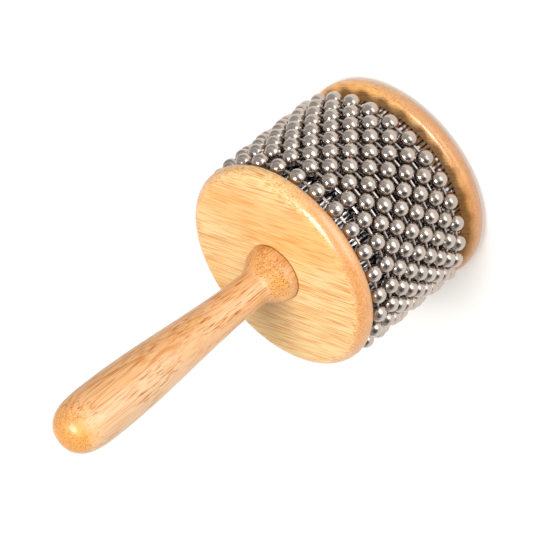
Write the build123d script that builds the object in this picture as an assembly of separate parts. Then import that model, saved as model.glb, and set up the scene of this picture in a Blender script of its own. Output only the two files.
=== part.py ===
from build123d import *

import os
from math import asin, cos, degrees, pi, radians, sin

# Cabasa: a turned wooden handle on a wooden drum whose waist is wrapped in rippled steel sheet,
# with loops of ball chain lying loose round the sheet between two round end plates.
# Millimetres. The drum stands on its rear plate, +Z runs up the axis towards the handle.

# End plates, two equal turned discs
plate_diameter = 92.0
plate_thickness = 8.4
plate_show_round = 5.2
plate_inner_round = 2.9
plate_rim_land = 0.2

# Wooden core between the plates, with a spigot glued into each plate
core_diameter = 78.0
spigot_diameter = 52.0
spigot_length = 3.0
glue_clearance = 0.1

# Turned handle
handle_length = 122.3
collar_diameter = 25.0
collar_lip = 1.8
collar_edge_round = 0.5
neck_diameter = 15.0
neck_height = 13.4
belly_diameter = 24.1
belly_height = 99.0
butt_shoulder = 11.2
butt_fullness = 1.05
tenon_diameter = 13.0
tenon_in_core = 30.0
tenon_chamfer = 1.2
tenon_well = 1.0

# Rippled steel sheet round the core, rolled from a strip that meets at a plain nailed seam
sheet_thickness = 0.35
sheet_clearance = 0.05
ripple_height = 0.25
ripple_pitch = 2.1
seam_gap = 0.3
seam_margin = 5.2

# Brads that nail the seam to the core, in two columns
brad_shank_diameter = 1.2
brad_head_diameter = 2.2
brad_head_thickness = 0.2
brad_length = 9.0
brad_from_seam = 2.4
brad_from_plate = 8.0
brad_rows = 3

# Ball chain: hollow beads threaded on short headed links
bead_diameter = 7.3
bead_wall = 0.4
link_wire_diameter = 1.25
link_head_diameter = 2.2
link_play = 0.1
link_gap = 2.82

# Loops of chain, counted from the handle end
loop_count = 9
loop_clearance = 0.3
front_clearance = 0.35
front_band = 0.14
nest_gap = 1.565
rear_band = 4.46
loop_lag = 0.21

# Radii that follow from the sizes above, from the core outwards
core_radius = core_diameter / 2
valley_inside = core_radius + sheet_clearance
valley_radius = valley_inside + sheet_thickness
crest_radius = valley_radius + ripple_height
bead_radius = bead_diameter / 2
loop_radius = crest_radius + loop_clearance + bead_radius

# Loops along the drum: the first lies by the front plate, the second follows it bead behind bead,
# and each of the others nests its beads beside the links of the loop before it
nest_pitch = bead_radius + link_wire_diameter / 2 + nest_gap
loop_drop = [0.0]
for n in range(1, loop_count):
    loop_drop.append(loop_drop[-1] + (bead_diameter + front_band if n == 1 else nest_pitch))
drum_length = front_clearance + bead_radius + loop_drop[-1] + bead_radius + rear_band

# Heights of the seats
rear_inner = plate_thickness
front_inner = rear_inner + drum_length
front_face = front_inner + plate_thickness
first_loop_height = front_inner - front_clearance - bead_radius

# Beads that fill a loop, and the straight distance between two of them
beads_per_loop = max(3, round(2 * pi * loop_radius / (bead_diameter + link_gap)))
half_step = pi / beads_per_loop
bead_pitch = 2 * loop_radius * sin(half_step)

ON_BASE = (Align.CENTER, Align.CENTER, Align.MIN)


def end_plate():
    """A disc lying on its show face, with the recess for the core's spigot in its upper face."""
    room = plate_thickness - plate_rim_land
    share = min(1.0, room / (plate_show_round + plate_inner_round))
    disc = Cylinder(plate_diameter / 2, plate_thickness, align=ON_BASE)
    disc = fillet(disc.edges().filter_by(GeomType.CIRCLE).sort_by(Axis.Z)[0], plate_show_round * share)
    disc = fillet(disc.edges().filter_by(GeomType.CIRCLE).sort_by(Axis.Z)[-1], plate_inner_round * share)
    recess = Cylinder(spigot_diameter / 2 + glue_clearance, spigot_length, align=ON_BASE)
    return disc - Pos(0, 0, plate_thickness - spigot_length) * recess


def front_plate():
    """The handle's plate: show face up, with the hole that the tenon passes through."""
    plate = Pos(0, 0, front_face) * Rot(180, 0, 0) * end_plate()
    hole = Cylinder(tenon_diameter / 2 + glue_clearance, plate_thickness, align=ON_BASE)
    return plate - Pos(0, 0, front_inner) * hole


def brad_places():
    """Places on the seam's plain margins, each with its X axis pointing out of the drum."""
    lean = degrees(asin((seam_gap / 2 + brad_from_seam) / valley_radius))
    run = drum_length - 2 * brad_from_plate
    for row in range(brad_rows):
        height = rear_inner + brad_from_plate + run * row / max(1, brad_rows - 1)
        for side in (-1, 1):
            yield Pos(0, 0, height) * Rot(0, 0, 90 + side * lean)


def brad_shank(radius):
    """A shank along X, from its point in the core to the underside of the head."""
    shank = Cylinder(radius, brad_length, align=ON_BASE)
    return Pos(valley_radius - brad_length, 0, 0) * Rot(0, 90, 0) * shank


def drum_core():
    """The core with its two spigots, the tenon's blind bore and the brads' holes."""
    core = Pos(0, 0, rear_inner) * Cylinder(core_radius, drum_length, align=ON_BASE)
    spigots = Cylinder(spigot_diameter / 2, drum_length + 2 * spigot_length, align=ON_BASE)
    core += Pos(0, 0, rear_inner - spigot_length) * spigots
    depth = tenon_in_core + tenon_well
    bore = Cylinder(tenon_diameter / 2 + glue_clearance, depth + spigot_length, align=ON_BASE)
    core -= Pos(0, 0, front_inner - depth) * bore
    for place in brad_places():
        core -= place * brad_shank(brad_shank_diameter / 2 + sheet_clearance)
    return core


def sleeve_brads():
    """Flat-headed brads, their heads on the seam's plain margins below the tops of the ripples."""
    head = Rot(0, 90, 0) * Cylinder(brad_head_diameter / 2, brad_head_thickness, align=ON_BASE)
    brad = brad_shank(brad_shank_diameter / 2) + Pos(valley_radius, 0, 0) * head
    return [place * brad for place in brad_places()]


def at(radius, angle):
    """A point in the plan, at an angle in radians from +X."""
    return (radius * cos(angle), radius * sin(angle))


def ripple_edge(radius, start, stop, count):
    """Round ridges and hollows in turn, from one margin of the strip to the other."""
    step = (stop - start) / count
    middle = radius + ripple_height / 2
    edges = []
    for n in range(count):
        a = start + n * step
        ends = [at(middle, a + step * q) for q in (0.25, 0.75)]
        hollow = at(radius, a)
        if n == 0:
            edges.append(Line(hollow, ends[0]))
        edges.append(ThreePointArc(ends[0], at(radius + ripple_height, a + step / 2), ends[1]))
        after = at(radius, a + step)
        if n == count - 1:
            edges.append(Line(ends[1], after))
        else:
            edges.append(ThreePointArc(ends[1], after, at(middle, a + step * 1.25)))
    return edges


def ripple_sleeve():
    """The rolled strip: rippled round the drum, plain at both margins, open at the seam behind."""
    seam = radians(90)
    edge = asin(seam_gap / 2 / valley_radius)
    margin = seam_margin / valley_radius
    first, last = seam + edge, seam + 2 * pi - edge
    start, stop = first + margin, last - margin
    count = max(8, round((stop - start) * (valley_radius + ripple_height / 2) / ripple_pitch))
    edges = []
    for radius in (valley_inside, valley_radius):
        edges.append(ThreePointArc(*[at(radius, a) for a in (first, (first + start) / 2, start)]))
        edges += ripple_edge(radius, start, stop, count)
        edges.append(ThreePointArc(*[at(radius, a) for a in (stop, (stop + last) / 2, last)]))
    for a in (first, last):
        edges.append(Line(at(valley_inside, a), at(valley_radius, a)))
    strip = make_face(edges)
    sleeve = Pos(0, 0, rear_inner) * extrude(strip, drum_length, dir=(0, 0, 1))
    for place in brad_places():
        sleeve -= place * brad_shank(brad_shank_diameter / 2 + sheet_clearance)
    return sleeve


def handle():
    """A turned handle: tenon, collar with a hollow flare, slim neck, swelling grip, round butt."""
    seat = front_face
    foot = front_inner - tenon_in_core
    tenon, collar = tenon_diameter / 2, collar_diameter / 2
    neck, belly = neck_diameter / 2, belly_diameter / 2
    flare = neck_height - collar_lip
    grip = belly_height - neck_height
    top = seat + handle_length
    outline = [
        Polyline(
            (0, top),
            (0, foot),
            (tenon - tenon_chamfer, foot),
            (tenon, foot + tenon_chamfer),
            (tenon, seat),
            (collar - collar_edge_round, seat),
        ),
        RadiusArc(
            (collar - collar_edge_round, seat),
            (collar, seat + collar_edge_round),
            -collar_edge_round,
        ),
        Line((collar, seat + collar_edge_round), (collar, seat + collar_lip)),
        Bezier(
            (collar, seat + collar_lip),
            (collar, seat + collar_lip + flare / 3),
            (neck, seat + neck_height - flare / 3),
            (neck, seat + neck_height),
        ),
        Bezier(
            (neck, seat + neck_height),
            (neck, seat + neck_height + grip / 3),
            (belly, seat + belly_height - grip / 3),
            (belly, seat + belly_height),
        ),
        Bezier(
            (belly, seat + belly_height),
            (belly, seat + belly_height + butt_shoulder),
            (belly * butt_fullness, top),
            (0, top),
        ),
    ]
    half = Plane.XZ * make_face(outline)
    return revolve(half, Axis.Z)


def chain_bead():
    """A hollow bead on +X, its two holes facing along the links to its neighbours."""
    bead = Sphere(bead_radius) - Sphere(bead_radius - bead_wall)
    hole = Cylinder(link_wire_diameter / 2 + link_play, bead_radius, align=ON_BASE)
    for side in (-1, 1):
        bead -= Rot(0, 0, side * degrees(half_step)) * Rot(-90 * side, 0, 0) * hole
    return Pos(loop_radius, 0, 0) * bead


def chain_link():
    """A headed wire between two beads, its heads drawn up against the beads from inside."""
    head_radius = link_head_diameter / 2
    reach = bead_pitch / 2 - (bead_radius - bead_wall - head_radius - link_play)
    link = Cylinder(link_wire_diameter / 2, 2 * reach)
    for side in (-1, 1):
        link += Pos(0, 0, side * reach) * Sphere(head_radius)
    middle = loop_radius * cos(half_step)
    return Rot(0, 0, degrees(half_step)) * Pos(middle, 0, 0) * Rot(90, 0, 0) * link


def chain_loop(piece, number):
    """One piece repeated round loop number, whose beads stand half a step on in every other nested
    loop, and a little further back in each because the loops creep as the drum is turned."""
    height = first_loop_height - loop_drop[number]
    turn = -loop_lag * max(0, number - 1)
    if number >= 2 and number % 2 == 0:
        turn += degrees(half_step)
    step = 2 * degrees(half_step)
    return [Pos(0, 0, height) * Rot(0, 0, turn + n * step) * piece for n in range(beads_per_loop)]


parts = {
    "rear_plate": end_plate(),
    "front_plate": front_plate(),
    "drum_core": drum_core(),
    "ripple_sleeve": ripple_sleeve(),
    "sleeve_brads": Compound(children=sleeve_brads()),
    "handle": handle(),
}
bead = chain_bead()
link = chain_link()
for number in range(loop_count):
    parts[f"chain_{number + 1}_beads"] = Compound(children=chain_loop(bead, number))
    parts[f"chain_{number + 1}_links"] = Compound(children=chain_loop(link, number))

os.makedirs("parts", exist_ok=True)
for name, shape in parts.items():
    export_step(shape, f"parts/{name}.step")

print(f"{beads_per_loop} beads a loop, {bead_pitch:.2f} mm apart, loops {nest_pitch:.2f} mm apart")
print(f"drum {drum_length:.2f} mm between plates, {front_face + handle_length:.2f} mm overall")
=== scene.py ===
"""Cabasa: a turned wooden handle, two wooden plates, a rippled steel sleeve and nine loops of ball chain.

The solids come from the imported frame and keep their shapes. Each operator below gives one piece, or one
group of like pieces, its finish, and the last one sets up the floor, the lamps, the room and the camera.
"""

import math

import bpy
from bpy.props import FloatProperty, FloatVectorProperty, PointerProperty
from bpy.types import Operator, Panel, PropertyGroup
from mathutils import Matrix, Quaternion, Vector


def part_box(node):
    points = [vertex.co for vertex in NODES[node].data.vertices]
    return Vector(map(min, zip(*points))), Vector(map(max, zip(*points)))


bl_info = {
    "name": "Cabasa",
    "version": (1, 0, 0),
    "blender": (4, 5, 0),
    "location": "3D View > Sidebar > Cabasa",
    "description": "Finishes the wood and metal of a cabasa and sets up its stage",
    "category": "Object",
}

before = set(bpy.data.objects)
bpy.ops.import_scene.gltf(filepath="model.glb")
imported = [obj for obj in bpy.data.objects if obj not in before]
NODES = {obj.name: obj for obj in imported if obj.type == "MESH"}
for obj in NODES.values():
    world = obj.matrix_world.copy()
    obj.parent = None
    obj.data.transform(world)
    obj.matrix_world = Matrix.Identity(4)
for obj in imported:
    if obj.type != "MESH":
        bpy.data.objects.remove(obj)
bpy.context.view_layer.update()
LOOP_COUNT = sum(1 for name in NODES if name.endswith("_beads"))

# The grain of the turned pieces, the handle and the core, runs along their axis
TURNED_GRAIN = (0, 0, 1)

# Sizes of marks in the wood, across the grain and along it; a fibre's is a share of a streak's
BAND_SIZE = (0.016, 0.075)
SWIRL_SIZE = (0.009, 0.130)
PORE_GROUP_SIZE = (0.007, 0.020)
FIBRE_SHARE = (0.65, 0.60)

# Levels of noise between which each mark in the wood fades in
BAND_LEVELS = (0.42, 0.68)
STREAK_LEVELS = (0.55, 0.67)
FIBRE_LEVELS = (0.45, 0.72)
STAIN_LEVELS = (0.54, 0.65)
PORE_LEVELS = (0.650, 0.668)
GROUP_LEVELS = (0.42, 0.54)

# Strength of the marks: fibres, the painted shade on the side away from the heart, and stains are a
# share of the streaks, figure and flecks
BAND_STRENGTH = 0.60
END_STRENGTH = 0.90
AWAY_SIDE_SHADE = 0.7
FIBRE_STRENGTH_SHARE = 0.5
STAIN_SHARE = 0.50

# How squarely the grain is cut, from 0 to 1, while the colour, the pores and the lacquer change
END_COLOUR_CUT = (0.10, 0.70)
END_PORES_CUT = (0.20, 0.60)
END_LACQUER_CUT = (0.10, 0.60)

# On cut ends pores are wider and their groups larger, and this is how strongly they show there
END_PORE_GAIN = 0.09
END_GROUP_GAIN = 0.13
END_PORE_STRENGTH = 0.72

# From the heart of the tree to the piece, and the distances from it at which ring lines, and painted
# shade on that side, come in
FROM_HEART = (0.041, -0.026, 0.0)
RING_DISTANCES = (0.058, 0.063)

# A swirl of noise is cut into this many rings, and a line fades in towards each ring's edge
RINGS_IN_SWIRL = 10.0
RING_LINE = (0.13, 0.02)

# Bare wood under the lacquer: fibres stand a little proud, and pores are pits
WOOD_ROUGHNESS = (0.42, 0.52)
ROUGHNESS_LEVELS = (0.3, 0.7)
WOOD_SPECULAR = 0.08
GRAIN_RELIEF = 0.00012
RELIEF_STRENGTH = 0.45
PORE_PIT = 0.6

# Lacquer, and how much smoother and stronger a full gleam makes it on cut ends
LACQUER_ROUGHNESS = 0.36
LACQUER_INDEX = 1.62
GLEAM_SMOOTHING = 0.06
GLEAM_INDEX = 0.40

# The collar is the widest part of the handle; a thin dark line is drawn round it
COLLAR_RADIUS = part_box("handle")[1].x
COLLAR_LINE_WIDTH = 0.0005
COLLAR_LINE_STRENGTH = 0.85

# The sleeve's box touches its crests; its hollows lie a ripple's height below
RIPPLE_HEIGHT = 0.00025
SLEEVE_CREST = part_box("ripple_sleeve")[1].x
SLEEVE_VALLEY = SLEEVE_CREST - RIPPLE_HEIGHT
# Painted shade in the hollows fades out up to this share of the ripple's height
HOLLOW_SHADE_SHARE = 0.7
HOLLOW_SHADE_TOP = SLEEVE_VALLEY + RIPPLE_HEIGHT * HOLLOW_SHADE_SHARE

# The sleeve has no painted shade in front of the second loop and behind the last, and painted shade
# makes it half as bright between, where the loops cover it
LOOP_SHADE_FRONT_INSET = 0.0015
LOOP_SHADE_REAR_INSET = 0.0005
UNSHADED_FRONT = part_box("chain_2_beads")[1].z - LOOP_SHADE_FRONT_INSET
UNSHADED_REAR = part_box("chain_9_beads")[0].z + LOOP_SHADE_REAR_INSET
LOOP_SHADE_FADE = 0.001
LOOP_SHADE_LEVEL = 0.50

# Dents in the thin sheet of the sleeve
DENT_SCALE = 250.0
DENT_DEPTH = 0.0016
DENT_STRENGTH = 0.7

# Clouding on the plated metal, which takes on a tint there
CLOUD_SCALE = 210.0
CLOUD_LEVELS = (0.35, 0.70)
TINT_STRENGTH = 0.55

# Rubbed marks on the metal, and the shares of its roughness that they go between
MARK_LEVELS = (0.35, 0.75)
MARK_ROUGHNESS = (0.75, 1.45)
MARK_DEPTH = 0.00004
MARK_STRENGTH = 0.06

# Lamps: the point in the drum that they face, the ways to them from there, their widths and heights
DRUM_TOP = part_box("front_plate")[1].z
AIM_SHARE = 0.6
LAMP_AIM = (0, 0, DRUM_TOP * AIM_SHARE)
LAMP_DISTANCE = 2.3
TOP_LAMP_WAY = (0.150, -0.307, 0.937)
TOP_LAMP_SIZE = (0.74, 0.74)
FRONT_LAMP_WAY = (-0.110, -0.980, -0.155)
FRONT_LAMP_SIZE = (2.3, 2.1)

# The floor's faint mottle and its grey past the picture's edge, as shares of its colour
MOTTLE_SCALE = 6.0
MOTTLE_SHARE = 0.985
GREY_SHARE = 0.55
FLOOR_ROUGHNESS = 0.9

# The floor's glow rises from its near strength to 1 between these distances from the object
NEAR_GLOW = 0.44
GLOW_DISTANCES = (0.30, 1.10)

# Where the floor and the room look dim in the metal: ways, and how far along them the dimming goes
DIM_FLOOR_WAY = (0.922, -0.387, 0)
DIM_FLOOR_RANGE = (0.083, 0.135)
DIM_ROOM_WAY = (0.50, -0.87, 0)
DIM_ROOM_RANGE = (-0.35, 0.25)
DIM_CORNER_WAY = (-0.64, -0.58, 0.50)
DIM_CORNER_RANGE = (0.74, 0.97)
DOME_RANGE = (0.15, 0.45)
HORIZON_RANGE = (-0.08, 0.02)

# Camera
SENSOR_WIDTH = 36.0
CLIP_END = 60.0


# Settings

class CabasaWood(PropertyGroup):
    """Colours and grain of the lacquered wood"""

    plate_pale: FloatVectorProperty(
        name="Front plate pale", description="Ground colour of the front plate's wood",
        subtype="COLOR", size=3, min=0, max=1, default=(0.940, 0.685, 0.340))
    plate_deep: FloatVectorProperty(
        name="Front plate deep", description="Colour of the broad golden bands on the front plate",
        subtype="COLOR", size=3, min=0, max=1, default=(0.905, 0.495, 0.150))
    # The rear plate's ground and bands are deeper and warmer, partly its board's own tone and partly
    # painted shade, as it lies mostly in the drum's shade
    rear_pale: FloatVectorProperty(
        name="Rear plate pale", description="Ground colour of the rear plate's wood",
        subtype="COLOR", size=3, min=0, max=1, default=(0.955, 0.570, 0.235))
    rear_deep: FloatVectorProperty(
        name="Rear plate deep", description="Colour of the broad deeper bands on the rear plate",
        subtype="COLOR", size=3, min=0, max=1, default=(0.880, 0.430, 0.120))
    plate_streak: FloatVectorProperty(
        name="Plate streak", description="Colour of the fine streaks on the plates",
        subtype="COLOR", size=3, min=0, max=1, default=(0.760, 0.295, 0.028))
    plate_end: FloatVectorProperty(
        name="Plate end", description="Colour of the plates' rims where the grain is cut across",
        subtype="COLOR", size=3, min=0, max=1, default=(0.810, 0.395, 0.135))
    handle_pale: FloatVectorProperty(
        name="Handle pale", description="Ground colour of the handle's wood",
        subtype="COLOR", size=3, min=0, max=1, default=(0.870, 0.595, 0.355))
    handle_deep: FloatVectorProperty(
        name="Handle deep", description="Colour of the broad deeper bands on the handle",
        subtype="COLOR", size=3, min=0, max=1, default=(0.790, 0.410, 0.150))
    handle_streak: FloatVectorProperty(
        name="Handle streak", description="Colour of the ring lines and streaks on the handle",
        subtype="COLOR", size=3, min=0, max=1, default=(0.660, 0.240, 0.030))
    handle_end: FloatVectorProperty(
        name="Handle end", description="Colour of the collar and the butt where the grain is cut across",
        subtype="COLOR", size=3, min=0, max=1, default=(0.930, 0.445, 0.080))
    plate_pore: FloatVectorProperty(
        name="Plate pore", description="Colour of the open pores on the plates",
        subtype="COLOR", size=3, min=0, max=1, default=(0.590, 0.205, 0.032))
    handle_pore: FloatVectorProperty(
        name="Handle pore", description="Colour of the handle's pores and of the line round its collar",
        subtype="COLOR", size=3, min=0, max=1, default=(0.440, 0.120, 0.004))
    front_grain: FloatProperty(
        name="Front grain", description="Direction of the front plate's grain, from +X",
        subtype="ANGLE", default=math.radians(54.2))
    rear_grain: FloatProperty(
        name="Rear grain", description="Direction of the rear plate's grain, from +X",
        subtype="ANGLE", default=math.radians(68.6))
    streak_width: FloatProperty(
        name="Streak width", description="Usual width of a streak across the grain",
        subtype="DISTANCE", unit="LENGTH", min=0.0002, max=0.01, default=0.00048)
    streak_length: FloatProperty(
        name="Streak length", description="Usual length of a streak along the grain",
        subtype="DISTANCE", unit="LENGTH", min=0.001, max=0.2, default=0.016)
    pore_width: FloatProperty(
        name="Pore width", description="Usual width of a pore across the grain",
        subtype="DISTANCE", unit="LENGTH", min=0.0001, max=0.005, default=0.00033)
    pore_length: FloatProperty(
        name="Pore length", description="Usual length of a pore along the grain",
        subtype="DISTANCE", unit="LENGTH", min=0.0005, max=0.05, default=0.0135)
    lacquer: FloatProperty(
        name="Lacquer", description="Weight of the clear lacquer over the wood",
        subtype="FACTOR", min=0, max=1, default=1.00)


class CabasaMetal(PropertyGroup):
    """Colours of the chain, the sleeve and the brads, and the beads' polish"""

    bead_colour: FloatVectorProperty(
        name="Bead colour", description="Colour of the nickel on the beads",
        subtype="COLOR", size=3, min=0, max=1, default=(0.548, 0.480, 0.432))
    bead_roughness: FloatProperty(
        name="Bead roughness", description="How dull the beads' polish is",
        subtype="FACTOR", min=0, max=1, default=0.21)
    link_colour: FloatVectorProperty(
        name="Link colour", description="Colour of the wire links between the beads",
        subtype="COLOR", size=3, min=0, max=1, default=(0.580, 0.520, 0.478))
    sleeve_colour: FloatVectorProperty(
        name="Sleeve colour", description="Colour of the rippled steel sleeve",
        subtype="COLOR", size=3, min=0, max=1, default=(0.660, 0.665, 0.720))
    # Painted shade: the sleeve's colour in the hollows of its ripples and under the loops
    painted_shade_colour: FloatVectorProperty(
        name="Painted shade colour", description="Colour of the steel in the hollows of the ripples",
        subtype="COLOR", size=3, min=0, max=1, default=(0.060, 0.050, 0.045))
    brad_colour: FloatVectorProperty(
        name="Brad colour", description="Colour of the brads at the sleeve's seam",
        subtype="COLOR", size=3, min=0, max=1, default=(0.420, 0.400, 0.380))


class CabasaStage(PropertyGroup):
    """Floor, lamps, room and camera"""

    floor_colour: FloatVectorProperty(
        name="Floor colour", description="Colour of the plain floor",
        subtype="COLOR", size=3, min=0, max=1, default=(0.620, 0.620, 0.620))
    floor_size: FloatProperty(
        name="Floor size", description="Side of the square floor",
        subtype="DISTANCE", unit="LENGTH", min=0.5, max=60, default=24.0)
    floor_front: FloatProperty(
        name="Floor front", description="From the drum's axis to the front edge of the floor",
        subtype="DISTANCE", unit="LENGTH", min=0.1, max=10, default=0.168)
    top_lamp_power: FloatProperty(
        name="Top lamp", description="Power of the soft lamp overhead",
        subtype="POWER", unit="POWER", min=0, max=1000, default=42.0)
    front_lamp_power: FloatProperty(
        name="Front lamp", description="Power of the soft lamp in front",
        subtype="POWER", unit="POWER", min=0, max=1000, default=36.0)
    fill: FloatProperty(
        name="Fill", description="Strength of the even light from all round",
        min=0, max=2, default=0.46)
    fill_colour: FloatVectorProperty(
        name="Fill colour", description="Colour of the even light from all round",
        subtype="COLOR", size=3, min=0, max=1, default=(1.0, 0.870, 0.700))
    room_level: FloatProperty(
        name="Room", description="How bright the front of the room looks in the metal; it is white behind",
        subtype="FACTOR", min=0, max=1, default=0.58)
    dome_level: FloatProperty(
        name="Dome", description="How bright the room looks in the metal higher up",
        subtype="FACTOR", min=0, max=1, default=0.48)
    dim_corner: FloatProperty(
        name="Dim corner", description="How bright the dim corner of the room looks in the metal",
        subtype="FACTOR", min=0, max=1, default=0.22)
    dim_floor: FloatProperty(
        name="Dim floor", description="How bright the floor past the picture's edge looks in the metal",
        subtype="FACTOR", min=0, max=1, default=0.10)
    lens: FloatProperty(
        name="Lens", description="Focal length of the camera",
        subtype="DISTANCE_CAMERA", unit="CAMERA", min=20, max=600, default=279.8)
    target: FloatVectorProperty(
        name="Target", description="Point at the middle of the picture",
        subtype="XYZ", unit="LENGTH", size=3, default=(0.003617, 0.001005, 0.078432))
    distance: FloatProperty(
        name="Distance", description="From the target to the camera",
        subtype="DISTANCE", unit="LENGTH", min=0.1, max=20, default=1.6523)
    azimuth: FloatProperty(
        name="Azimuth", description="Direction of the camera round the object, from +X",
        subtype="ANGLE", default=math.radians(-85.96))
    elevation: FloatProperty(
        name="Elevation", description="Height of the camera above the horizon",
        subtype="ANGLE", default=math.radians(31.76))
    roll: FloatProperty(
        name="Roll", description="Turn of the camera about its own line of sight, clockwise",
        subtype="ANGLE", default=math.radians(128.29))


# Node helpers

def node(tree, kind, inputs=None, **settings):
    """Adds a node; inputs are values, or sockets to link, by socket name or number."""
    made = tree.nodes.new(kind)
    for name, value in settings.items():
        setattr(made, name, value)
    for name, value in (inputs or {}).items():
        if isinstance(value, bpy.types.NodeSocket):
            tree.links.new(value, made.inputs[name])
        else:
            made.inputs[name].default_value = value
    return made


def math_of(tree, operation, a, b=0.0, clamp=False):
    """One Math node's result."""
    return node(tree, "ShaderNodeMath", {0: a, 1: b}, operation=operation, use_clamp=clamp).outputs[0]


def step_of(tree, value, low, high, start=0.0, end=1.0):
    """A result eased from start to end as the value goes from low to high."""
    made = node(tree, "ShaderNodeMapRange",
                {"Value": value, "From Min": low, "From Max": high, "To Min": start, "To Max": end},
                interpolation_type="SMOOTHSTEP")
    return made.outputs["Result"]


def mixed(tree, factor, a, b):
    """Colour a with colour b laid over it by factor."""
    made = node(tree, "ShaderNodeMix", {"Factor": factor}, data_type="RGBA")
    for socket, value in ((made.inputs[6], a), (made.inputs[7], b)):
        if isinstance(value, bpy.types.NodeSocket):
            tree.links.new(value, socket)
        else:
            socket.default_value = (*value, 1.0)
    return made.outputs[2]


def noise(tree, vector, scale=1.0, detail=0.0, roughness=0.5):
    """One Noise Texture's value."""
    made = node(tree, "ShaderNodeTexNoise",
                {"Vector": vector, "Scale": scale, "Detail": detail, "Roughness": roughness})
    return made.outputs["Fac"]


def axis_distance(tree, vector):
    """Distance of a point from the Z axis."""
    flat = node(tree, "ShaderNodeVectorMath", {0: vector, 1: (1, 1, 0)}, operation="MULTIPLY")
    return node(tree, "ShaderNodeVectorMath", {0: flat.outputs[0]}, operation="LENGTH").outputs["Value"]


def reach(tree, vector, way):
    """How far a point or a direction reaches along a way."""
    made = node(tree, "ShaderNodeVectorMath", {0: vector, 1: way}, operation="DOT_PRODUCT")
    return made.outputs["Value"]


def new_material(name):
    """An empty material with its shader and output; returns it, its tree and the shader."""
    material = bpy.data.materials.new(name)
    material.use_nodes = True
    tree = material.node_tree
    tree.nodes.clear()
    shader = node(tree, "ShaderNodeBsdfPrincipled")
    output = node(tree, "ShaderNodeOutputMaterial")
    tree.links.new(shader.outputs["BSDF"], output.inputs["Surface"])
    return material, tree, shader


def finished(material):
    """The tree and shader of a finished material, and the socket that its colour comes from."""
    tree = material.node_tree
    shader = next(n for n in tree.nodes if n.type == "BSDF_PRINCIPLED")
    return tree, shader, shader.inputs["Base Color"].links[0].from_socket


def dress(name, material):
    """Puts a material on every slot of a CAD node."""
    piece = NODES[name]
    if not piece.material_slots:
        piece.data.materials.append(material)
    for slot in piece.material_slots:
        slot.material = material


def dress_loops(kind, material):
    """Puts a material on the beads, or on the links, of every loop."""
    for number in range(1, LOOP_COUNT + 1):
        dress(f"chain_{number}_{kind}", material)


# Wood

def grain_turn(direction):
    """Turn that lays the given grain direction on the texture's Z axis."""
    return Vector(direction).rotation_difference(Vector((0, 0, 1))).to_euler()


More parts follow.
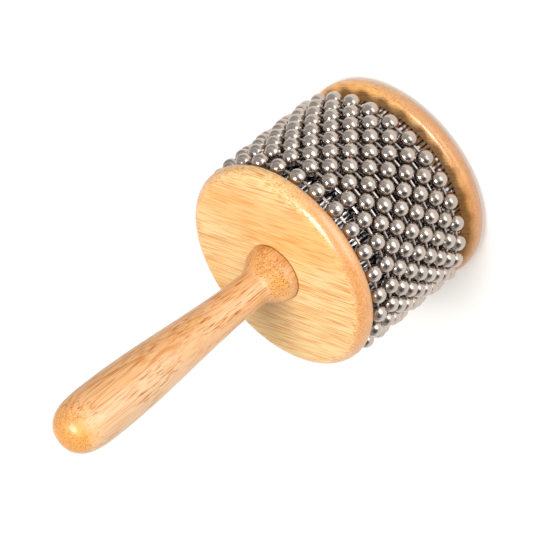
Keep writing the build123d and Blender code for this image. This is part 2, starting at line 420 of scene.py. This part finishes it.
def lacquered_wood(name, wood, grain, colours, streaks, figure, flecks, gleam, seed):
    """Pale close-grained wood under satin lacquer, with its fibres along the grain direction.

    The colours are those of the ground, the bands, the streaks, the cut ends and the pores. Streaks,
    figure and flecks say how strongly the streaks, the growth rings and the pores show, and gleam how
    much glossier the cut ends are, each from 0 to 1. Figure also sets how deep the painted shade is on
    the side away from the heart. The seed moves the pattern through the wood.
    """
    pale, deep, streak, end, pore = colours
    material, tree, shader = new_material(name)
    place = node(tree, "ShaderNodeTexCoord")
    along = node(tree, "ShaderNodeMapping",
                 {"Vector": place.outputs["Object"], "Rotation": grain_turn(grain), "Location": seed})
    cut = math_of(tree, "ABSOLUTE", reach(tree, place.outputs["Normal"], grain))

    def stretched(width, length):
        scale = (1 / width, 1 / width, 1 / length)
        return node(tree, "ShaderNodeMapping",
                    {"Vector": along.outputs[0], "Scale": scale}).outputs[0]

    def toward_ends(long_grain, cut_end):
        return step_of(tree, cut, *END_PORES_CUT, long_grain, cut_end)

    # Broad pale and deep bands, and another colour where the grain is cut across
    bands = noise(tree, stretched(*BAND_SIZE), detail=1.0)
    colour = mixed(tree, step_of(tree, bands, *BAND_LEVELS, 0.0, BAND_STRENGTH), pale, deep)
    colour = mixed(tree, step_of(tree, cut, *END_COLOUR_CUT, 0.0, END_STRENGTH), colour, end)

    # Growth rings show as lines on the side away from the heart, which lies well outside the piece
    if figure > 0:
        heart = node(tree, "ShaderNodeVectorMath", {0: along.outputs[0], 1: FROM_HEART}, operation="ADD")
        outer = step_of(tree, axis_distance(tree, heart.outputs[0]), *RING_DISTANCES)
        # Painted shade: the side away from the heart is laid over with the deep colour, as that flank lies
        # in shade
        colour = mixed(tree, math_of(tree, "MULTIPLY", outer, figure * AWAY_SIDE_SHADE), colour, deep)
        swirl = noise(tree, stretched(*SWIRL_SIZE), detail=1.0, roughness=0.4)
        level = math_of(tree, "PINGPONG", math_of(tree, "MULTIPLY", swirl, RINGS_IN_SWIRL), 0.5)
        lines = step_of(tree, level, *RING_LINE, 0.0, figure)
        colour = mixed(tree, math_of(tree, "MULTIPLY", lines, outer), colour, streak)

    # Fine streaks and fibres
    fine = noise(tree, stretched(wood.streak_width, wood.streak_length))
    colour = mixed(tree, step_of(tree, fine, *STREAK_LEVELS, 0.0, streaks), colour, streak)
    width_share, length_share = FIBRE_SHARE
    fibre = noise(tree, stretched(wood.streak_width * width_share, wood.streak_length * length_share))
    fibrous = step_of(tree, fibre, *FIBRE_LEVELS, 0.0, streaks * FIBRE_STRENGTH_SHARE)
    colour = mixed(tree, fibrous, colour, streak)

    # Open pores in loose groups: flecks along the grain with a stain round them, and dots on cut ends
    pores = noise(tree, stretched(wood.pore_width, wood.pore_length))
    groups = noise(tree, stretched(*PORE_GROUP_SIZE), detail=1.0)
    open_pores = math_of(tree, "ADD", pores, toward_ends(0.0, END_PORE_GAIN))
    gathered = math_of(tree, "ADD", groups, toward_ends(0.0, END_GROUP_GAIN))
    grouped = step_of(tree, gathered, *GROUP_LEVELS)
    stain = step_of(tree, pores, *STAIN_LEVELS, 0.0, flecks * STAIN_SHARE)
    colour = mixed(tree, math_of(tree, "MULTIPLY", stain, grouped), colour, streak)
    fleck = math_of(tree, "MULTIPLY", step_of(tree, open_pores, *PORE_LEVELS), grouped)
    depth = toward_ends(flecks, END_PORE_STRENGTH)
    colour = mixed(tree, math_of(tree, "MULTIPLY", fleck, depth), colour, pore)
    tree.links.new(colour, shader.inputs["Base Color"])

    # Fibres stand a little proud, pores are pits, and the wood has little gloss of its own
    dullness = step_of(tree, fibre, *ROUGHNESS_LEVELS, *WOOD_ROUGHNESS)
    tree.links.new(dullness, shader.inputs["Roughness"])
    shader.inputs["Specular IOR Level"].default_value = WOOD_SPECULAR
    pitted = math_of(tree, "SUBTRACT", fibre, math_of(tree, "MULTIPLY", fleck, PORE_PIT))
    bump = node(tree, "ShaderNodeBump",
                {"Height": pitted, "Strength": RELIEF_STRENGTH, "Distance": GRAIN_RELIEF})
    tree.links.new(bump.outputs[0], shader.inputs["Normal"])
    tree.links.new(bump.outputs[0], shader.inputs["Coat Normal"])

    # Lacquer
    shader.inputs["Coat Weight"].default_value = wood.lacquer
    shader.inputs["Coat Roughness"].default_value = LACQUER_ROUGHNESS
    shader.inputs["Coat IOR"].default_value = LACQUER_INDEX
    if gleam > 0:
        for socket, level, change in (("Coat Roughness", LACQUER_ROUGHNESS, -GLEAM_SMOOTHING),
                                      ("Coat IOR", LACQUER_INDEX, GLEAM_INDEX)):
            glossier = step_of(tree, cut, *END_LACQUER_CUT, level, level + change * gleam)
            tree.links.new(glossier, shader.inputs[socket])
    return material


def draw_collar_line(material, colour):
    """Draws the thin dark line where the handle's collar meets the plate."""
    tree, shader, unmarked = finished(material)
    place = node(tree, "ShaderNodeTexCoord")
    out = axis_distance(tree, place.outputs["Object"])
    inside = step_of(tree, out, COLLAR_RADIUS, COLLAR_RADIUS + COLLAR_LINE_WIDTH, COLLAR_LINE_STRENGTH, 0.0)
    tree.links.new(mixed(tree, inside, unmarked, colour), shader.inputs["Base Color"])


# Metal

def plated_metal(name, colour, tint, roughness, mark_scale):
    """Bright plated metal with faint clouding, rubbed marks and a slight tint in places."""
    material, tree, shader = new_material(name)
    place = node(tree, "ShaderNodeTexCoord")
    cloud = noise(tree, place.outputs["Object"], CLOUD_SCALE, detail=3.0, roughness=0.6)
    marks = noise(tree, place.outputs["Object"], mark_scale, detail=2.0, roughness=0.6)
    shade = mixed(tree, step_of(tree, cloud, *CLOUD_LEVELS, 0.0, TINT_STRENGTH), colour, tint)
    tree.links.new(shade, shader.inputs["Base Color"])
    polish = step_of(tree, marks, *MARK_LEVELS, *(roughness * share for share in MARK_ROUGHNESS))
    tree.links.new(polish, shader.inputs["Roughness"])
    bump = node(tree, "ShaderNodeBump",
                {"Height": marks, "Strength": MARK_STRENGTH, "Distance": MARK_DEPTH})
    tree.links.new(bump.outputs[0], shader.inputs["Normal"])
    shader.inputs["Metallic"].default_value = 1.0
    return material


def shade_and_dent(steel, shade_tone):
    """Paints shade into the hollows of the sleeve's ripples and under its loops, and dents the sheet."""
    tree, shader, unmarked = finished(steel)
    place = node(tree, "ShaderNodeTexCoord")

    # Painted shade darkens the hollows, and the crests keep the steel's own colour
    out = axis_distance(tree, place.outputs["Object"])
    out_of_hollow = step_of(tree, out, SLEEVE_VALLEY, HOLLOW_SHADE_TOP)

    # Under the close loops the sheet is darkened all over with painted shade, and by the plates it is not
    height = node(tree, "ShaderNodeSeparateXYZ", {"Vector": place.outputs["Object"]}).outputs["Z"]
    front = step_of(tree, height, UNSHADED_FRONT - LOOP_SHADE_FADE, UNSHADED_FRONT + LOOP_SHADE_FADE, LOOP_SHADE_LEVEL, 1.0)
    rear = step_of(tree, height, UNSHADED_REAR - LOOP_SHADE_FADE, UNSHADED_REAR + LOOP_SHADE_FADE, 1.0, LOOP_SHADE_LEVEL)
    bright = math_of(tree, "MULTIPLY", out_of_hollow, math_of(tree, "MAXIMUM", front, rear))
    tree.links.new(mixed(tree, bright, shade_tone, unmarked), shader.inputs["Base Color"])

    # The thin sheet is dented all over
    dents = noise(tree, place.outputs["Object"], DENT_SCALE, detail=1.0)
    marked = shader.inputs["Normal"].links[0].from_socket
    bump = node(tree, "ShaderNodeBump",
                {"Height": dents, "Strength": DENT_STRENGTH, "Distance": DENT_DEPTH, "Normal": marked})
    tree.links.new(bump.outputs[0], shader.inputs["Normal"])


# Stage

def shown_rays(tree):
    """1 for rays from the camera, from gloss and through glass, and 0 for the rest."""
    path = node(tree, "ShaderNodeLightPath")
    seen = math_of(tree, "ADD", path.outputs["Is Camera Ray"], path.outputs["Is Glossy Ray"])
    return math_of(tree, "ADD", seen, path.outputs["Is Transmission Ray"], clamp=True)


def off_camera(tree):
    """0 for rays straight from the camera and 1 for the rest."""
    path = node(tree, "ShaderNodeLightPath")
    return math_of(tree, "SUBTRACT", 1.0, path.outputs["Is Camera Ray"])


def lay_floor(stage):
    """Lays the pale floor, which goes over to plain white away from the object."""
    bpy.ops.object.select_all(action="DESELECT")
    bpy.ops.mesh.primitive_plane_add(
        size=stage.floor_size, location=(0, stage.floor_size / 2 - stage.floor_front, 0))
    bpy.ops.object.transform_apply(location=True, rotation=False, scale=False)
    floor = bpy.context.object
    floor.name = "floor"
    material, tree, shader = new_material("pale_floor")
    spot = node(tree, "ShaderNodeTexCoord").outputs["Object"]

    # A faint mottle, and grey past the picture's edge for all but the camera
    mottle = noise(tree, spot, MOTTLE_SCALE, detail=2.0)
    mottled = [c * MOTTLE_SHARE for c in stage.floor_colour]
    plain = mixed(tree, mottle, stage.floor_colour, mottled)
    past = step_of(tree, reach(tree, spot, DIM_FLOOR_WAY), *DIM_FLOOR_RANGE)
    beyond = math_of(tree, "MULTIPLY", past, off_camera(tree))
    grey = [c * GREY_SHARE for c in stage.floor_colour]
    tree.links.new(mixed(tree, beyond, plain, grey), shader.inputs["Base Color"])
    shader.inputs["Roughness"].default_value = FLOOR_ROUGHNESS
    shader.inputs["Specular IOR Level"].default_value = 0.0

    # A glow makes it white away from the object, and leaves it dim past the picture's edge
    away = node(tree, "ShaderNodeVectorMath", {0: spot}, operation="LENGTH")
    far = step_of(tree, away.outputs["Value"], *GLOW_DISTANCES, NEAR_GLOW, 1.0)
    pale = math_of(tree, "MULTIPLY", far, step_of(tree, beyond, 0.0, 1.0, 1.0, stage.dim_floor))
    glow = math_of(tree, "MULTIPLY", pale, shown_rays(tree))
    tree.links.new(glow, shader.inputs["Emission Strength"])
    shader.inputs["Emission Color"].default_value = (1, 1, 1, 1)
    floor.data.materials.append(material)


def hang_lamp(name, way, size, power):
    """Hangs a soft flat lamp that faces the object from the given way."""
    way = Vector(way).normalized()
    place = Vector(LAMP_AIM) + way * LAMP_DISTANCE
    turn = way.to_track_quat("Z", "Y").to_euler()
    bpy.ops.object.light_add(type="AREA", location=place, rotation=turn)
    lamp = bpy.context.object
    lamp.name = name
    lamp.data.shape = "RECTANGLE"
    lamp.data.size, lamp.data.size_y = size
    lamp.data.energy = power
    lamp.visible_camera = False


def light_room(scene, stage):
    """Gives even light from all round, from a room that is white but for dim parts seen in the metal."""
    world = bpy.data.worlds.new("even_light")
    world.use_nodes = True
    tree = world.node_tree
    tree.nodes.clear()
    way = node(tree, "ShaderNodeTexCoord").outputs["Generated"]
    height = node(tree, "ShaderNodeSeparateXYZ", {"Vector": way}).outputs["Z"]

    # The front, the top and one corner are dim
    room = step_of(tree, reach(tree, way, DIM_ROOM_WAY), *DIM_ROOM_RANGE, 1.0, stage.room_level)
    dome = step_of(tree, height, *DOME_RANGE, 1.0, stage.dome_level)
    corner = step_of(tree, reach(tree, way, DIM_CORNER_WAY), *DIM_CORNER_RANGE, 1.0, stage.dim_corner)
    dim = math_of(tree, "MULTIPLY", math_of(tree, "MINIMUM", room, dome), corner)

    # Below the horizon, and straight to the camera, all is white
    above = math_of(tree, "MULTIPLY", step_of(tree, height, *HORIZON_RANGE), off_camera(tree))
    loss = math_of(tree, "MULTIPLY", above, math_of(tree, "SUBTRACT", dim, 1.0))

    # Rays that aren't shown carry the fill alone
    shown = shown_rays(tree)
    seen = math_of(tree, "ADD", loss, 1.0 - stage.fill)
    level = math_of(tree, "ADD", math_of(tree, "MULTIPLY", seen, shown), stage.fill)
    tint = mixed(tree, shown, stage.fill_colour, (1, 1, 1))
    sky = node(tree, "ShaderNodeBackground", {"Color": tint, "Strength": level})
    output = node(tree, "ShaderNodeOutputWorld")
    tree.links.new(sky.outputs[0], output.inputs["Surface"])
    scene.world = world


def place_camera(scene, stage):
    """Places the camera round the target, rolled about its line of sight."""
    flat = math.cos(stage.elevation)
    back = Vector((flat * math.cos(stage.azimuth), flat * math.sin(stage.azimuth),
                   math.sin(stage.elevation)))
    turn = back.to_track_quat("Z", "Y") @ Quaternion((0, 0, 1), -stage.roll)
    bpy.ops.object.camera_add(location=Vector(stage.target) + back * stage.distance,
                              rotation=turn.to_euler())
    camera = bpy.context.object
    camera.name = "camera"
    camera.data.lens = stage.lens
    camera.data.sensor_width = SENSOR_WIDTH
    camera.data.clip_end = CLIP_END
    scene.camera = camera


# Operators

class CABASA_OT_finish_handle(Operator):
    """Gives the turned handle its grain, ring lines, painted shade on one flank, pores and lacquer"""

    bl_idname = "cabasa.finish_handle"
    bl_label = "Finish handle"

    def execute(self, context):
        wood = context.scene.cabasa_wood
        colours = (wood.handle_pale, wood.handle_deep, wood.handle_streak, wood.handle_end,
                   wood.handle_pore)
        dress("handle", lacquered_wood(
            "handle_wood", wood, TURNED_GRAIN, colours,
            streaks=0.46, figure=0.80, flecks=1.00, gleam=0.20, seed=(0.011, 0.007, -0.048)))
        return {"FINISHED"}


class CABASA_OT_finish_plates(Operator):
    """Gives the two plates their straight grain, each along its own direction"""

    bl_idname = "cabasa.finish_plates"
    bl_label = "Finish plates"

    def execute(self, context):
        wood = context.scene.cabasa_wood
        boards = (
            ("front_plate", wood.front_grain, wood.plate_pale, wood.plate_deep, (0.031, 0.019, 0.05)),
            # The rear plate's colours carry painted shade as well as the board's own tone
            ("rear_plate", wood.rear_grain, wood.rear_pale, wood.rear_deep, (0.117, 0.083, 0.21)),
        )
        for name, angle, pale, deep, seed in boards:
            grain = (math.cos(angle), math.sin(angle), 0)
            colours = (pale, deep, wood.plate_streak, wood.plate_end, wood.plate_pore)
            material = lacquered_wood(
                name + "_wood", wood, grain, colours,
                streaks=0.72, figure=0.0, flecks=0.60, gleam=1.0, seed=seed)
            if name == "front_plate":
                draw_collar_line(material, wood.handle_pore)
            dress(name, material)
        return {"FINISHED"}


class CABASA_OT_finish_core(Operator):
    """Gives the hidden drum core its plain wood"""

    bl_idname = "cabasa.finish_core"
    bl_label = "Finish core"

    def execute(self, context):
        wood = context.scene.cabasa_wood
        colours = (wood.plate_pale, wood.handle_deep, wood.handle_streak, wood.handle_end,
                   wood.handle_pore)
        # Its figure paints shade on the side away from the heart, as on the handle
        dress("drum_core", lacquered_wood(
            "core_wood", wood, TURNED_GRAIN, colours,
            streaks=0.50, figure=0.60, flecks=0.60, gleam=0.0, seed=(0.21, 0.13, 0.4)))
        return {"FINISHED"}


class CABASA_OT_finish_sleeve(Operator):
    """Gives the rippled sleeve its bright rolled steel, painted shade in its hollows and under its loops,
    and its dents
    """

    bl_idname = "cabasa.finish_sleeve"
    bl_label = "Finish sleeve"

    def execute(self, context):
        metal = context.scene.cabasa_metal
        steel = plated_metal("sleeve_steel", metal.sleeve_colour, tint=(0.50, 0.51, 0.58),
                             roughness=0.09, mark_scale=900.0)
        shade_and_dent(steel, metal.painted_shade_colour)
        dress("ripple_sleeve", steel)
        return {"FINISHED"}


class CABASA_OT_finish_brads(Operator):
    """Gives the brads at the seam their dull steel"""

    bl_idname = "cabasa.finish_brads"
    bl_label = "Finish brads"

    def execute(self, context):
        metal = context.scene.cabasa_metal
        dress("sleeve_brads", plated_metal("brad_steel", metal.brad_colour, tint=(0.30, 0.27, 0.25),
                                           roughness=0.32, mark_scale=2600.0))
        return {"FINISHED"}


class CABASA_OT_finish_beads(Operator):
    """Gives the hollow beads of every loop their nickel"""

    bl_idname = "cabasa.finish_beads"
    bl_label = "Finish beads"

    def execute(self, context):
        metal = context.scene.cabasa_metal
        dress_loops("beads", plated_metal("bead_nickel", metal.bead_colour, tint=(0.430, 0.366, 0.322),
                                          roughness=metal.bead_roughness, mark_scale=1500.0))
        return {"FINISHED"}


class CABASA_OT_finish_links(Operator):
    """Gives the wire links of every loop their drawn steel"""

    bl_idname = "cabasa.finish_links"
    bl_label = "Finish links"

    def execute(self, context):
        metal = context.scene.cabasa_metal
        dress_loops("links", plated_metal("link_steel", metal.link_colour, tint=(0.46, 0.40, 0.36),
                                          roughness=0.27, mark_scale=3200.0))
        return {"FINISHED"}


class CABASA_OT_build_stage(Operator):
    """Builds the floor, the two soft lamps, the even light and the camera"""

    bl_idname = "cabasa.build_stage"
    bl_label = "Build stage"

    def execute(self, context):
        stage = context.scene.cabasa_stage
        lay_floor(stage)
        hang_lamp("top_lamp", TOP_LAMP_WAY, TOP_LAMP_SIZE, stage.top_lamp_power)
        hang_lamp("front_lamp", FRONT_LAMP_WAY, FRONT_LAMP_SIZE, stage.front_lamp_power)
        light_room(context.scene, stage)
        place_camera(context.scene, stage)
        context.scene.view_settings.view_transform = "Standard"
        return {"FINISHED"}


class CABASA_PT_panel(Panel):
    """Lists the cabasa's settings and finishing steps"""

    bl_idname = "CABASA_PT_panel"
    bl_label = "Cabasa"
    bl_space_type = "VIEW_3D"
    bl_region_type = "UI"
    bl_category = "Cabasa"

    def draw(self, context):
        layout = self.layout
        for group in (context.scene.cabasa_wood, context.scene.cabasa_metal, context.scene.cabasa_stage):
            box = layout.box()
            for name in group.__annotations__:
                box.prop(group, name)
        for step in STEPS:
            layout.operator(step.bl_idname)


STEPS = (
    CABASA_OT_finish_handle,
    CABASA_OT_finish_plates,
    CABASA_OT_finish_core,
    CABASA_OT_finish_sleeve,
    CABASA_OT_finish_brads,
    CABASA_OT_finish_beads,
    CABASA_OT_finish_links,
    CABASA_OT_build_stage,
)
GROUPS = {"cabasa_wood": CabasaWood, "cabasa_metal": CabasaMetal, "cabasa_stage": CabasaStage}


def register():
    for group in GROUPS.values():
        bpy.utils.register_class(group)
    for name, group in GROUPS.items():
        setattr(bpy.types.Scene, name, PointerProperty(type=group))
    for step in STEPS:
        bpy.utils.register_class(step)
    bpy.utils.register_class(CABASA_PT_panel)


def unregister():
    bpy.utils.unregister_class(CABASA_PT_panel)
    for step in reversed(STEPS):
        bpy.utils.unregister_class(step)
    for name in GROUPS:
        delattr(bpy.types.Scene, name)
    for group in reversed(list(GROUPS.values())):
        bpy.utils.unregister_class(group)


def main():
    register()
    bpy.ops.cabasa.finish_handle()
    bpy.ops.cabasa.finish_plates()
    bpy.ops.cabasa.finish_core()
    bpy.ops.cabasa.finish_sleeve()
    bpy.ops.cabasa.finish_brads()
    bpy.ops.cabasa.finish_beads()
    bpy.ops.cabasa.finish_links()
    bpy.ops.cabasa.build_stage()


if __name__ == "__main__":
    main()
